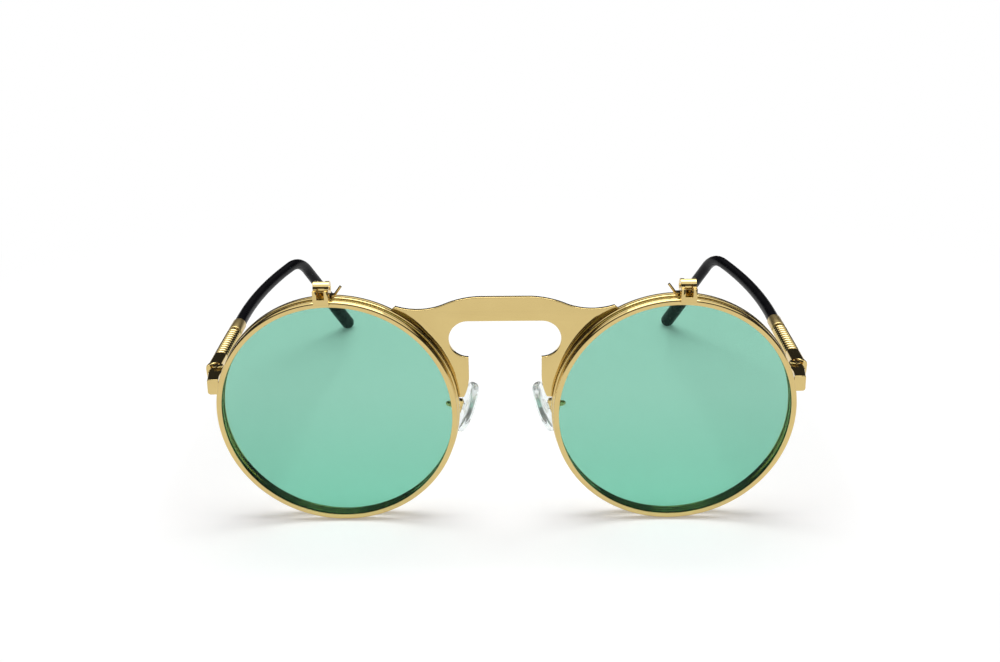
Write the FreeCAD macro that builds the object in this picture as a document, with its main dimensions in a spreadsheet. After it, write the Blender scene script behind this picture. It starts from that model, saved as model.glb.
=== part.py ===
import FreeCAD, Part
import math
import os
import re
import Sketcher

# Flip up sunglasses: a round wire frame with clear lenses, tinted lenses that flip up in front of it,
# spring temples with bent sleeves, and clear nose pads. Millimetres, +Z up, the front faces -Y, and the
# right-hand pieces (+X) are modelled and then mirrored. The origin is on the table under the middle.

Vector = FreeCAD.Vector
Rotation = FreeCAD.Rotation
Placement = FreeCAD.Placement

SIZES = {
    # Place of the flip rims' front face
    "front_y": -62.52,
    # Fixed rims, which stand on the table either side of the bridge, and the flip rims in front of them
    "bridge_half": 10.2,
    "rim_outer_radius": 26.8,
    "rim_width": 1.3,
    "rim_depth": 2.0,
    "rim_bevel": 0.2,
    "rim_saw_cut": 0.3,
    "flip_rim_inset": 0.25,
    "flip_rim_width": 1.25,
    "flip_rim_depth": 1.7,
    "flip_gap": 0.6,
    # Lenses and the grooves that hold them
    "lens_thickness": 1.0,
    "groove_depth": 0.6,
    "lens_fit": 0.04,
    # Bridge plate: drops are below the top of the rims, and halves are measured from the middle
    "plate_thickness": 1.0,
    "plate_set_back": 0.9,
    "plate_top_drop": 0.55,
    "plate_flat_half": 5.3,
    "shoulder_half": 13.4,
    "shoulder_drop": 2.4,
    "shoulder_radius": 21.0,
    "dip_radius": 15.0,
    "wing_step": 0.96,
    "wing_corner_angle": 60.66,
    "wing_end_angle": 61.5,
    "leg_tip_angle": 3.0,
    "leg_edge_half": 7.95,
    "leg_edge_height": 4.25,
    "leg_edge_radius": 12.0,
    "keyhole_radius": 4.2,
    "keyhole_drop": 10.2,
    # Flip hinges on top of the rims
    "hinge_offset": 1.3,
    "hinge_rise": 2.2,
    "barrel_radius": 1.5,
    "knuckle_radius": 0.95,
    "knuckle_width": 1.4,
    "lug_gap": 0.1,
    "lug_width": 0.85,
    "cap_gap": 0.12,
    "cap_start_angle": 173.0,
    "cap_sweep_angle": 55.0,
    "bracket_plate": 0.55,
    "bracket_leg": 1.45,
    "bracket_lap": 0.75,
    "foot_height": 0.35,
    "foot_inset": 0.1,
    "flip_pin_radius": 0.45,
    "flip_pin_stub": 0.2,
    "peg_reach": 0.45,
    "peg_radius": 0.28,
    "peg_length": 2.7,
    "peg_lean_angle": 37.0,
    "running_fit": 0.04,
    # End pieces and temple hinges
    "end_piece_rise": 6.0,
    "end_piece_inset": 0.2,
    "end_tab_reach": 1.7,
    "hinge_pin_reach": 1.3,
    "hinge_pin_back": 9.5,
    "hinge_height": 3.6,
    "hinge_barrel_radius": 1.6,
    "tongue_height": 1.3,
    "tongue_gap": 0.05,
    "tongue_web": 1.9,
    "barrel_room": 0.45,
    "hinge_screw_radius": 0.6,
    "screw_head_radius": 1.15,
    "screw_head_height": 0.45,
    # Temples: straight spring and ferrule, bowed sleeve, ear bend and tip
    "temple_splay_angle": 3.6,
    "temple_lift_angle": 1.5,
    "temple_axis_offset": 1.45,
    "temple_axis_rise": 0.4,
    "block_start": 2.1,
    "block_length": 5.6,
    "block_inner": 1.75,
    "block_outer": 1.4,
    "block_facet": 0.7,
    "core_radius": 0.55,
    "core_seat": 2.5,
    "core_fit": 0.03,
    "core_tip_run": 14.0,
    "spring_length": 15.6,
    "coil_radius": 1.15,
    "coil_wire": 0.8,
    "coil_turns": 9.25,
    "coil_ramp": 1.2,
    "ferrule_length": 5.8,
    "ferrule_radius": 1.7,
    "ferrule_bevel": 0.3,
    "sleeve_lead": 4.0,
    "sleeve_radius": 1.5,
    "bow_angle": 16.0,
    "bow_radius": 149.0,
    "bend_angle": 45.7,
    "bend_radius": 15.5,
    "tip_radius": 2.25,
    "tip_grip_length": 14.0,
    # Nose pads on bent wire arms
    "pad_half": 10.8,
    "pad_back": 9.8,
    "pad_drop": 2.3,
    "pad_frontal_angle": 19.0,
    "pad_splay_angle": 12.0,
    "pad_height": 12.4,
    "pad_width": 7.0,
    "pad_end_radius": 2.4,
    "pad_thickness": 2.0,
    "pad_nose_round": 1.2,
    "pad_back_round": 0.4,
    "pad_flat": 1.15,
    "stud_width": 0.8,
    "stud_height": 1.5,
    "stud_depth": 0.55,
    "cup_wall": 0.35,
    "cup_front": 0.7,
    "cup_play": 0.35,
    "cup_side_play": 0.12,
    "cup_end_play": 0.2,
    "pad_screw_radius": 0.35,
    "pad_screw_head": 0.65,
    "pad_screw_head_height": 0.4,
    "arm_radius": 0.45,
    "arm_lead": 0.9,
    # Lock barrels behind the fixed rims, either side of the saw cut
    "lock_width": 1.5,
    "lock_height": 1.5,
    "lock_screw_radius": 0.4,
    "lock_head_radius": 0.55,
    "lock_head_height": 0.4,
}

RIM_FRONT = "(front_y + flip_rim_depth + flip_gap)"
RIM_BACK = "(front_y + flip_rim_depth + flip_gap + rim_depth)"
EYE_X = "(bridge_half + rim_outer_radius)"
EYE_HEIGHT = "rim_outer_radius"
RIM_TOP = "2 * rim_outer_radius"
RIM_INNER = "(rim_outer_radius - rim_width)"
FLIP_OUTER = "(rim_outer_radius - flip_rim_inset)"
FLIP_INNER = "(rim_outer_radius - flip_rim_inset - flip_rim_width)"
HINGE_WIDTH = "(knuckle_width + 2 * lug_gap + 2 * lug_width)"
RIM_SIDE = "(bridge_half + 2 * rim_outer_radius)"
PIN_X = "(bridge_half + 2 * rim_outer_radius + hinge_pin_reach)"

ALONG_X = Rotation(Vector(0, 1, 0), 90)
ALONG_Y = Rotation(Vector(1, 0, 0), -90)
UPRIGHT = Rotation()

doc = FreeCAD.newDocument("flip_up_sunglasses")
sheet = doc.addObject("Spreadsheet::Sheet", "Sizes")
for row, (name, value) in enumerate(SIZES.items(), start=1):
    sheet.set("A%d" % row, name)
    sheet.set("B%d" % row, str(value))
    sheet.setAlias("B%d" % row, name)
doc.recompute()

sub_parts = []


def cells(text):
    """Expression text in which every two-word name is a cell of the sheet."""
    return re.sub(r"\b([a-z]+(?:_[a-z]+)+)\b", r"Sizes.\1", text)


def size(text):
    """The present value of an expression over the sheet's names."""
    return float(sheet.evalExpression(cells(text)))


def bind(item, **sizes):
    for name, text in sizes.items():
        item.setExpression(name, cells(text))
    return item


def seat(item, x, y, z, turn=UPRIGHT):
    """Place an object, with the three coordinates bound to the sheet."""
    item.Placement = Placement(Vector(), turn)
    for axis, text in zip("xyz", (x, y, z)):
        item.setExpression("Placement.Base." + axis, cells(text))
    return item


def put(item, placement):
    """Place an object by a worked-out placement, with no coordinate bound to the sheet."""
    for axis in "xyz":
        item.setExpression("Placement.Base." + axis, None)
    item.Placement = placement
    return item


def box(name, x, y, z, length, width, height, turn=UPRIGHT):
    item = doc.addObject("Part::Box", name)
    bind(item, Length=length, Width=width, Height=height)
    return seat(item, x, y, z, turn)


def cylinder(name, x, y, z, radius, height, turn=UPRIGHT):
    item = doc.addObject("Part::Cylinder", name)
    bind(item, Radius=radius, Height=height)
    return seat(item, x, y, z, turn)


def fuse(name, *items):
    item = doc.addObject("Part::MultiFuse", name)
    item.Shapes = list(items)
    item.Refine = True
    return item


def cut(name, base, *tools):
    """Cut the tools out of the base one after the other."""
    for number, tool in enumerate(tools, start=1):
        last = number == len(tools)
        item = doc.addObject("Part::Cut", name if last else "%s_stage_%d" % (name, number))
        item.Base = base
        item.Tool = tool
        base = item
    return base


def keep(item, name):
    """List an object as a sub-part under its own label."""
    item.Label = name
    sub_parts.append(item)
    return item


def keep_pair(item, name):
    """List a right-hand sub-part and its mirror image."""
    keep(item, name + "_right")
    twin = doc.addObject("Part::Mirroring", name + "_twin")
    twin.Source = item
    twin.Normal = Vector(1, 0, 0)
    keep(twin, name + "_left")


def sketch_in(body, role, name):
    sketch = body.newObject("Sketcher::SketchObject", name)
    plane = next(item for item in body.Origin.OriginFeatures if item.Role == role)
    sketch.AttachmentSupport = [(plane, "")]
    sketch.MapMode = "FlatFace"
    return sketch


def draw_outline(sketch, corners, arcs=None):
    """Close an outline through corners given as expression pairs. arcs maps a corner's number to the
    radius of the arc that leaves it, and to 1 or -1 for a left or a right turn."""
    arcs = arcs or {}
    points = [Vector(size(x), size(y), 0) for x, y in corners]
    ends = []
    for number, start in enumerate(points):
        stop = points[(number + 1) % len(points)]
        if number not in arcs:
            sketch.addGeometry(Part.LineSegment(start, stop), False)
            ends.append((1, 2))
            continue
        radius_text, turn = arcs[number]
        radius = size(radius_text)
        chord = stop - start
        left = Vector(-chord.y, chord.x, 0).normalize()
        rise = math.sqrt(radius ** 2 - (chord.Length / 2) ** 2)
        centre = (start + stop) * 0.5 + left * (rise * turn)
        first, second = (start, stop) if turn > 0 else (stop, start)
        begin = math.atan2(first.y - centre.y, first.x - centre.x)
        end = math.atan2(second.y - centre.y, second.x - centre.x)
        circle = Part.Circle(centre, Vector(0, 0, 1), radius)
        sketch.addGeometry(Part.ArcOfCircle(circle, begin, end), False)
        ends.append((1, 2) if turn > 0 else (2, 1))
    for number in range(len(points)):
        before = (number - 1) % len(points)
        sketch.addConstraint(
            Sketcher.Constraint("Coincident", before, ends[before][1], number, ends[number][0]))
    for number, corner in enumerate(corners):
        for kind, text in zip(("DistanceX", "DistanceY"), corner):
            constraint = Sketcher.Constraint(kind, number, ends[number][0], size(text))
            index = sketch.addConstraint(constraint)
            sketch.setExpression("Constraints[%d]" % index, cells(text))
        if number in arcs:
            index = sketch.addConstraint(Sketcher.Constraint("Radius", number, size(arcs[number][0])))
            sketch.setExpression("Constraints[%d]" % index, cells(arcs[number][0]))


def padded_body(name, role, corners, length, arcs=None, backwards=False):
    """A body whose only feature is one outline padded to a length."""
    body = doc.addObject("PartDesign::Body", name)
    sketch = sketch_in(body, role, name + "_outline")
    draw_outline(sketch, corners, arcs)
    pad = body.newObject("PartDesign::Pad", name + "_pad")
    pad.Profile = sketch
    pad.Reversed = backwards
    bind(pad, Length=length)
    return body


def turned_body(name, corners):
    """A body turned about its own Y axis from an outline of radius and depth."""
    body = doc.addObject("PartDesign::Body", name)
    sketch = sketch_in(body, "XY_Plane", name + "_outline")
    draw_outline(sketch, corners)
    turned = body.newObject("PartDesign::Revolution", name + "_turned")
    turned.Profile = sketch
    turned.ReferenceAxis = (sketch, ["V_Axis"])
    turned.Angle = 360
    return body


def tangent_arc(start, corner, stop):
    """The arc that touches the lines from start and stop to their meeting corner."""
    middle = (start + stop) * 0.5
    cosine = start.distanceToPoint(middle) / start.distanceToPoint(corner)
    crown = middle + (corner - middle) * (cosine / (1 + cosine))
    return Part.Arc(start, crown, stop).toShape()


def biarc(start, heading, stop, end_heading):
    """Two tangent arcs that leave start along heading and reach stop along end_heading."""
    chord = stop - start
    both = heading + end_heading
    square = 2 * (1 - heading.dot(end_heading))
    slope = chord.dot(both)
    reach = (math.sqrt(slope ** 2 + square * chord.dot(chord)) - slope) / square
    first = start + heading * reach
    second = stop - end_heading * reach
    join = (first + second) * 0.5
    return [tangent_arc(start, first, join), tangent_arc(join, second, stop)]


def sweep(name, edges, radius):
    """A round bar along tangent edges, its radius bound to the sheet."""
    path = doc.addObject("Part::Feature", name + "_path")
    path.Shape = Part.Wire(edges)
    begin = edges[0].firstVertex(True).Point
    heading = edges[0].tangentAt(edges[0].FirstParameter)
    ring = doc.addObject("Part::Circle", name + "_section")
    bind(ring, Radius=radius)
    ring.Placement = Placement(begin, Rotation(Vector(0, 0, 1), heading))
    bar = doc.addObject("Part::Sweep", name)
    bar.Sections = [ring]
    bar.Spine = (path, ["Edge%d" % number for number in range(1, len(edges) + 1)])
    bar.Solid = True
    bar.Frenet = False
    return bar


def make_rims():
    """Eye wires: turned rings with a groove for the lens, the fixed ones sawn through at the lock."""
    def ring(name, outer, inner, depth):
        low = "(%s - lens_thickness) / 2 - lens_fit" % depth
        high = "(%s + lens_thickness) / 2 + lens_fit" % depth
        floor = inner + " + groove_depth"
        return turned_body(name, [
            (outer, "rim_bevel"), (outer, depth + " - rim_bevel"),
            (outer + " - rim_bevel", depth), (inner, depth),
            (inner, high), (floor, high), (floor, low), (inner, low),
            (inner, "0"), (outer + " - rim_bevel", "0"),
        ])

    fixed = ring("rim_ring", "rim_outer_radius", RIM_INNER, "rim_depth")
    seat(fixed, EYE_X, RIM_FRONT, EYE_HEIGHT)
    saw = box("rim_saw", EYE_X + " + " + RIM_INNER + " - rim_width", RIM_FRONT + " - rim_depth",
              EYE_HEIGHT + " - rim_saw_cut / 2", "3 * rim_width", "3 * rim_depth", "rim_saw_cut")
    keep_pair(cut("rim", fixed, saw), "rim")
    flip = ring("flip_ring", FLIP_OUTER, FLIP_INNER, "flip_rim_depth")
    keep_pair(seat(flip, EYE_X, "front_y", EYE_HEIGHT), "flip_rim")


def make_lenses():
    """Flat round lenses, clear in the fixed rims and tinted in the flip rims."""
    for name, inner, front, depth in (
            ("clear_lens", RIM_INNER, RIM_FRONT, "rim_depth"),
            ("flip_lens", FLIP_INNER, "front_y", "flip_rim_depth")):
        disc = cylinder(name, EYE_X, front + " + (%s - lens_thickness) / 2" % depth, EYE_HEIGHT,
                        inner + " + groove_depth - lens_fit", "lens_thickness", ALONG_Y)
        keep_pair(disc, name)


def make_bridge():
    """Flat plate between the fixed rims, with a keyhole window that opens into the nose gap."""
    def beside_rim(radius, angle):
        return (EYE_X + " - (%s) * cos(%s)" % (radius, angle),
                EYE_HEIGHT + " + (%s) * sin(%s)" % (radius, angle))

    right = [
        ("plate_flat_half", RIM_TOP + " - plate_top_drop"),
        ("shoulder_half", RIM_TOP + " - shoulder_drop"),
        beside_rim("rim_outer_radius + wing_step", "wing_corner_angle"),
        beside_rim("rim_outer_radius", "wing_end_angle"),
        beside_rim("rim_outer_radius", "leg_tip_angle"),
        ("leg_edge_half", RIM_TOP + " - keyhole_drop - keyhole_radius - leg_edge_height"),
        ("leg_edge_half", RIM_TOP + " - keyhole_drop - keyhole_radius"),
        ("leg_edge_half + keyhole_radius", RIM_TOP + " - keyhole_drop"),
        ("leg_edge_half", RIM_TOP + " - keyhole_drop + keyhole_radius"),
    ]
    left = [("-(%s)" % x, z) for x, z in reversed(right)]
    arcs = {
        0: ("shoulder_radius", -1),
        1: ("dip_radius", 1),
        3: ("rim_outer_radius", 1),
        4: ("leg_edge_radius", -1),
        6: ("keyhole_radius", 1),
        7: ("keyhole_radius", 1),
    }
    last = len(right + left) - 1
    for number, arc in list(arcs.items()):
        next_corner = number + 1
        arcs[last - next_corner] = arc
    plate = padded_body("bridge_plate", "XZ_Plane", right + left, "plate_thickness", arcs, backwards=True)
    keep(seat(plate, "0", RIM_FRONT + " + plate_set_back", "0"), "bridge_plate")


def make_flip_hinges():
    """Each flip hinge has its own origin on the hinge axis, above the gap between the two rims. The fixed
    base carries a short peg that leans inward beside the barrel."""
    place = (EYE_X + " + hinge_offset", "front_y + flip_rim_depth + flip_gap / 2",
             RIM_TOP + " + hinge_rise")
    rim_y = "flip_gap / 2"
    flip_y = "-(flip_rim_depth + flip_gap / 2)"
    eye_z = "-(rim_outer_radius + hinge_rise)"
    half = HINGE_WIDTH + " / 2"

    knuckle = cylinder("knuckle", "-knuckle_width / 2", "0", "0", "knuckle_radius", "knuckle_width",
                       ALONG_X)
    web = box("knuckle_web", "-knuckle_width / 2", "0", "-(hinge_rise + rim_width / 2)",
              "knuckle_width", rim_y + " + knuckle_radius", "hinge_rise + rim_width / 2")
    peg_x = "-(%s + peg_reach)" % half
    foot = box("knuckle_foot", peg_x + " - peg_radius", rim_y + " + foot_inset", "-(hinge_rise + rim_width)",
               HINGE_WIDTH + " + peg_reach + peg_radius", "rim_depth - 2 * foot_inset",
               "rim_width + foot_height")
    peg = cylinder("leaning_peg", peg_x, rim_y + " + rim_depth / 2", "-hinge_rise", "peg_radius",
                   "peg_length", Rotation(Vector(0, 1, 0), size("-peg_lean_angle")))
    rim_solid = cylinder("base_rim_solid", "-hinge_offset", rim_y + " - rim_depth", eye_z,
                         "rim_outer_radius", "3 * rim_depth", ALONG_Y)
    bore = cylinder("base_bore", "-" + half, "0", "0", "flip_pin_radius", HINGE_WIDTH, ALONG_X)
    base = cut("flip_hinge_base", fuse("base_block", knuckle, web, foot, peg), rim_solid, bore)
    keep_pair(seat(base, *place), "flip_hinge_base")

    lap_z = "-(hinge_rise + flip_rim_inset + bracket_lap)"
    pieces = [box("bracket_front", "-" + half, flip_y + " - bracket_plate", lap_z,
                  HINGE_WIDTH, "bracket_plate", "bracket_lap + flip_rim_inset + foot_height")]
    for name, x in (("inner", "-" + half), ("outer", "knuckle_width / 2 + lug_gap")):
        pieces.append(cylinder(name + "_lug", x, "0", "0", "barrel_radius", "lug_width", ALONG_X))
        pieces.append(box(name + "_leg", x, flip_y + " - bracket_plate",
                          "-(hinge_rise + flip_rim_inset + rim_width / 2)", "lug_width", "bracket_leg",
                          "hinge_rise + flip_rim_inset + rim_width / 2"))
    cap = cylinder("barrel_cap", "-" + half, "0", "0", "barrel_radius", HINGE_WIDTH,
                   Rotation(Vector(1, 0, 0), size("-cap_start_angle")) * ALONG_X)
    bind(cap, Angle="cap_sweep_angle")
    hollow = cylinder("cap_hollow", "-" + half, "0", "0", "knuckle_radius + cap_gap", HINGE_WIDTH, ALONG_X)
    pieces.append(cut("cap_shell", cap, hollow))
    flip_solid = cylinder("bracket_rim_solid", "-hinge_offset", flip_y, eye_z, FLIP_OUTER,
                          "flip_rim_depth + rim_depth", ALONG_Y)
    pin_hole = cylinder("bracket_bore", "-" + half, "0", "0", "flip_pin_radius + running_fit",
                        HINGE_WIDTH, ALONG_X)
    bracket = cut("flip_hinge_bracket", fuse("bracket_block", *pieces), flip_solid, pin_hole)
    keep_pair(seat(bracket, *place), "flip_hinge_bracket")

    pin = cylinder("flip_hinge_pin", place[0] + " - (%s + flip_pin_stub)" % half, place[1], place[2],
                   "flip_pin_radius", HINGE_WIDTH + " + 2 * flip_pin_stub", ALONG_X)
    keep_pair(pin, "flip_hinge_pin")


def make_end_pieces():
    """End pieces, brazed to the fixed rims, turn back into a fork for the temple's tongue."""
    pin = PIN_X
    barrel = "hinge_barrel_radius"
    fork_root = "hinge_pin_back - hinge_barrel_radius - barrel_room"
    front = "flip_rim_depth + flip_gap + end_piece_inset"
    back = "flip_rim_depth + flip_gap + rim_depth - end_piece_inset"
    root = EYE_X + " + " + RIM_INNER + " - rim_width"
    block = padded_body("end_piece_block", "XY_Plane", [
        (root, front), (RIM_SIDE + " + end_tab_reach", front), (pin + " + " + barrel, fork_root),
        (pin + " + " + barrel, "hinge_pin_back"), (pin, "hinge_pin_back + " + barrel),
        (pin + " - " + barrel, "hinge_pin_back"), (pin + " - " + barrel, back), (root, back),
    ], "hinge_height", {3: (barrel, 1), 4: (barrel, 1)})
    seat(block, "0", "front_y", "rim_outer_radius + end_piece_rise - hinge_height / 2")
    rim_solid = cylinder("end_rim_solid", EYE_X, RIM_FRONT + " - rim_depth", EYE_HEIGHT,
                         "rim_outer_radius", "3 * rim_depth", ALONG_Y)
    slot = box("fork_slot", pin + " - 2 * " + barrel, "front_y + " + fork_root,
               "rim_outer_radius + end_piece_rise - tongue_height / 2 - tongue_gap",
               "4 * " + barrel, "4 * " + barrel, "tongue_height + 2 * tongue_gap")
    bore = cylinder("fork_bore", pin, "front_y + hinge_pin_back",
                    "rim_outer_radius + end_piece_rise - hinge_height", "hinge_screw_radius",
                    "2 * hinge_height")
    keep_pair(cut("end_piece", block, rim_solid, slot, bore), "end_piece")

    top = "rim_outer_radius + end_piece_rise + hinge_height / 2"
    shank = cylinder("hinge_screw_shank", pin, "front_y + hinge_pin_back", top + " - hinge_height",
                     "hinge_screw_radius", "hinge_height")
    head = cylinder("hinge_screw_head", pin, "front_y + hinge_pin_back", top, "screw_head_radius",
                    "screw_head_height")
    keep_pair(fuse("hinge_screw", shank, head), "hinge_screw")


def make_rim_locks():
    """Lock barrels behind each fixed rim, above and below its saw cut, drawn together by a screw."""
    middle = RIM_SIDE + " - rim_width / 2"
    axis_y = RIM_BACK + " + lock_width / 2"
    above = EYE_HEIGHT + " + rim_saw_cut / 2"
    bottom = EYE_HEIGHT + " - rim_saw_cut / 2 - lock_height"
    length = "rim_saw_cut + 2 * lock_height"
    barrels = [
        box(name, middle + " - lock_width / 2", RIM_BACK, z, "lock_width", "lock_width", "lock_height")
        for name, z in (("upper_lock", above), ("lower_lock", bottom))
    ]
    bore = cylinder("lock_bore", middle, axis_y, bottom, "lock_screw_radius", length)
    keep_pair(cut("rim_lock", fuse("lock_blocks", *barrels), bore), "rim_lock")
    shank = cylinder("lock_shank", middle, axis_y, bottom, "lock_screw_radius", length)
    head = cylinder("lock_head", middle, axis_y, above + " + lock_height", "lock_head_radius",
                    "lock_head_height")
    keep_pair(fuse("rim_lock_screw", shank, head), "rim_lock_screw")


def temple_frame():
    """The temple's own frame at its hinge pin: Y along the straight stretch, X outward."""
    turn = Rotation(Vector(0, 0, 1), -size("temple_splay_angle"))
    turn = turn * Rotation(Vector(1, 0, 0), size("temple_lift_angle"))
    pin = Vector(size(PIN_X), size("front_y + hinge_pin_back"),
                 size("rim_outer_radius + end_piece_rise"))
    return Placement(pin, turn)


def temple_line(start, tip_run):
    """Centre line in the temple's frame: a straight, the inward bow, the ear bend and the tip run."""
    along = Vector(0, 1, 0)
    inward = Vector(-1, 0, 0)
    down = Vector(0, 0, -1)
    edges = []
    here = Vector(size("temple_axis_offset"), start, size("temple_axis_rise"))
    straight = "block_start + block_length + spring_length + ferrule_length + sleeve_lead"
    turn_off = Vector(here.x, size(straight), here.z)
    edges.append(Part.LineSegment(here, turn_off).toShape())
    here = turn_off
    for side, radius, angle in ((inward, size("bow_radius"), size("bow_angle")),
                                (down, size("bend_radius"), size("bend_angle"))):
        centre = here + side * radius
        half = math.radians(angle / 2)
        full = math.radians(angle)
        crown = centre - side * (radius * math.cos(half)) + along * (radius * math.sin(half))
        stop = centre - side * (radius * math.cos(full)) + along * (radius * math.sin(full))
        edges.append(Part.Arc(here, crown, stop).toShape())
        along = along * math.cos(full) + side * math.sin(full)
        here = stop
    stop = here + along * tip_run
    edges.append(Part.LineSegment(here, stop).toShape())
    return edges, here, along


def tip_run_to_table():
    """Length from the ear bend to the centre of the rounded tip, which rests on the table."""
    frame = temple_frame()
    bend_end, along = temple_line(size("block_start"), size("tip_grip_length"))[1:]
    height = frame.multVec(bend_end).z
    fall = -frame.Rotation.multVec(along).z
    return (height - size("tip_radius")) / fall


def coil_edges():
    """The spring's centre line: straight ends along the axis, a ramp of a quarter turn, and the coil."""
    radius = size("coil_radius")
    lead = size("coil_wire")
    ramp = size("coil_ramp")
    quarters = round(4 * size("coil_turns"))
    length = size("spring_length")
    step = (length - 2 * lead - 2 * ramp) / quarters
    axis = Vector(size("temple_axis_offset"), size("block_start + block_length"), size("temple_axis_rise"))
    slope = math.atan2(step, radius * math.pi / 2)
    ahead = Vector(0, 1, 0)

    def spoke(quarter):
        angle = quarter * math.pi / 2
        return Vector(math.cos(angle), 0, math.sin(angle))

    def on_coil(quarter):
        return axis + spoke(quarter) * radius + ahead * (lead + ramp + step * (quarter - 1))

    def heading(quarter):
        return spoke(quarter + 1) * math.cos(slope) + ahead * math.sin(slope)

    first = axis + spoke(0) * radius
    edges = [Part.LineSegment(first, first + ahead * lead).toShape()]
    edges += biarc(first + ahead * lead, ahead, on_coil(1), heading(1))
    for quarter in range(1, quarters + 1):
        edges += biarc(on_coil(quarter), heading(quarter), on_coil(quarter + 1), heading(quarter + 1))
    last = axis + spoke(quarters + 2) * radius + ahead * (length - lead)
    edges += biarc(on_coil(quarters + 1), heading(quarters + 1), last, ahead)
    edges.append(Part.LineSegment(last, last + ahead * lead).toShape())
    return edges


def least_coil_gap(edges):
    """Least distance between two stretches of the coil, measured on points along its centre line."""
    steps = 4
    points = [point for edge in edges for point in edge.discretize(steps + 1)[:-1]]
    same_stretch = 3 * steps
    wire = size("coil_wire")
    gaps = [points[i].distanceToPoint(points[j]) - wire
            for i in range(len(points)) for j in range(i + same_stretch, len(points))]
    return min(gaps)


def make_temples():
    """Temple pieces share one frame at the hinge pin: block, core rod, coil spring, ferrule and sleeve."""
    frame = temple_frame()
    offset = "temple_axis_offset"
    spring_start = "block_start + block_length"
    ferrule_start = spring_start + " + spring_length"
    sleeve_start = ferrule_start + " + ferrule_length"
    tip_run = tip_run_to_table()

    inner = "temple_axis_offset - block_inner"
    outer = "temple_axis_offset + block_outer"
    top = "temple_axis_rise + hinge_height / 2"
    foot = "temple_axis_rise - hinge_height / 2"
    body = padded_body("temple_block_body", "XZ_Plane", [
        (inner, foot + " + block_facet"), (inner + " + block_facet", foot),
        (outer + " - block_facet", foot), (outer, foot + " + block_facet"),
        (outer, top + " - block_facet"), (outer + " - block_facet", top),
        (inner + " + block_facet", top), (inner, top + " - block_facet"),
    ], "block_length", backwards=True)
    seat(body, "0", "block_start", "0")
    level = frame.Rotation.inverted() * Rotation(Vector(0, 0, 1), -size("temple_splay_angle"))
    low = level.multVec(Vector(0, 0, -size("tongue_height") / 2))
    tongue = cylinder("tongue_barrel", "0", "0", "0", "hinge_barrel_radius", "tongue_height")
    put(tongue, Placement(low, level))
    web = box("tongue_web", "0", "0", "0", "tongue_web",
              "block_start + block_facet", "tongue_height")
    put(web, Placement(low, level))
    hole = cylinder("tongue_bore", "0", "0", "0", "hinge_screw_radius + running_fit", "2 * hinge_height")
    put(hole, Placement(level.multVec(Vector(0, 0, -size("hinge_height"))), level))
    core_bore = cylinder("block_core_bore", offset, spring_start + " - core_seat", "temple_axis_rise",
                         "core_radius", "2 * core_seat", ALONG_Y)
    block = cut("temple_block", fuse("temple_block_raw", body, tongue, web), hole, core_bore)
    block.Placement = frame
    keep_pair(block, "temple_block")

    core_edges = temple_line(size(spring_start + " - core_seat"), size("core_tip_run"))[0]
    core = sweep("temple_core", core_edges, "core_radius")
    core.Placement = frame
    keep_pair(core, "temple_core")

    wire = coil_edges()
    print("least gap of the temple coil to itself: %.3f mm" % least_coil_gap(wire))
    wire_start = wire[0].firstVertex(True).Point
    ring = Part.Wire(Part.makeCircle(size("coil_wire / 2"), wire_start, Vector(0, 1, 0)))
    spring = doc.addObject("Part::Feature", "temple_spring")
    spring.Shape = Part.Wire(wire).makePipeShell([ring], True, False)
    spring.Placement = frame
    keep_pair(spring, "temple_spring")

    ferrule = turned_body("temple_ferrule_body", [
        ("core_radius + core_fit", "0"), ("ferrule_radius - ferrule_bevel", "0"),
        ("ferrule_radius", "ferrule_bevel"), ("ferrule_radius", "ferrule_length - ferrule_bevel"),
        ("ferrule_radius - ferrule_bevel", "ferrule_length"), ("core_radius + core_fit", "ferrule_length"),
    ])
    on_axis = Vector(size(offset), size(ferrule_start), size("temple_axis_rise"))
    ferrule.Placement = frame * Placement(on_axis, UPRIGHT)
    keep_pair(ferrule, "temple_ferrule")

    outer_edges, bend_end, along = temple_line(size(sleeve_start), size("tip_grip_length"))
    tube = sweep("sleeve_tube", outer_edges, "sleeve_radius")
    flare = doc.addObject("Part::Cone", "sleeve_flare")
    bind(flare, Radius1="sleeve_radius", Radius2="tip_radius")
    flare.Height = tip_run - size("tip_grip_length")
    to_tip = Rotation(Vector(0, 0, 1), along)
    flare.Placement = Placement(bend_end, to_tip)
    grip_start = bend_end + along * flare.Height.Value
    grip = cylinder("sleeve_grip", "0", "0", "0", "tip_radius", "tip_grip_length")
    put(grip, Placement(grip_start, to_tip))
    ball = doc.addObject("Part::Sphere", "sleeve_ball")
    bind(ball, Radius="tip_radius")
    ball.Placement = Placement(bend_end + along * tip_run, to_tip)
    bore_edges = temple_line(size(ferrule_start), size("core_tip_run + core_fit"))[0]
    bore = sweep("sleeve_bore", bore_edges, "core_radius + core_fit")
    sleeve = cut("temple_sleeve", fuse("sleeve_outer", tube, flare, grip, ball), bore)
    sleeve.Placement = frame
    keep_pair(sleeve, "temple_sleeve")


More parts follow.
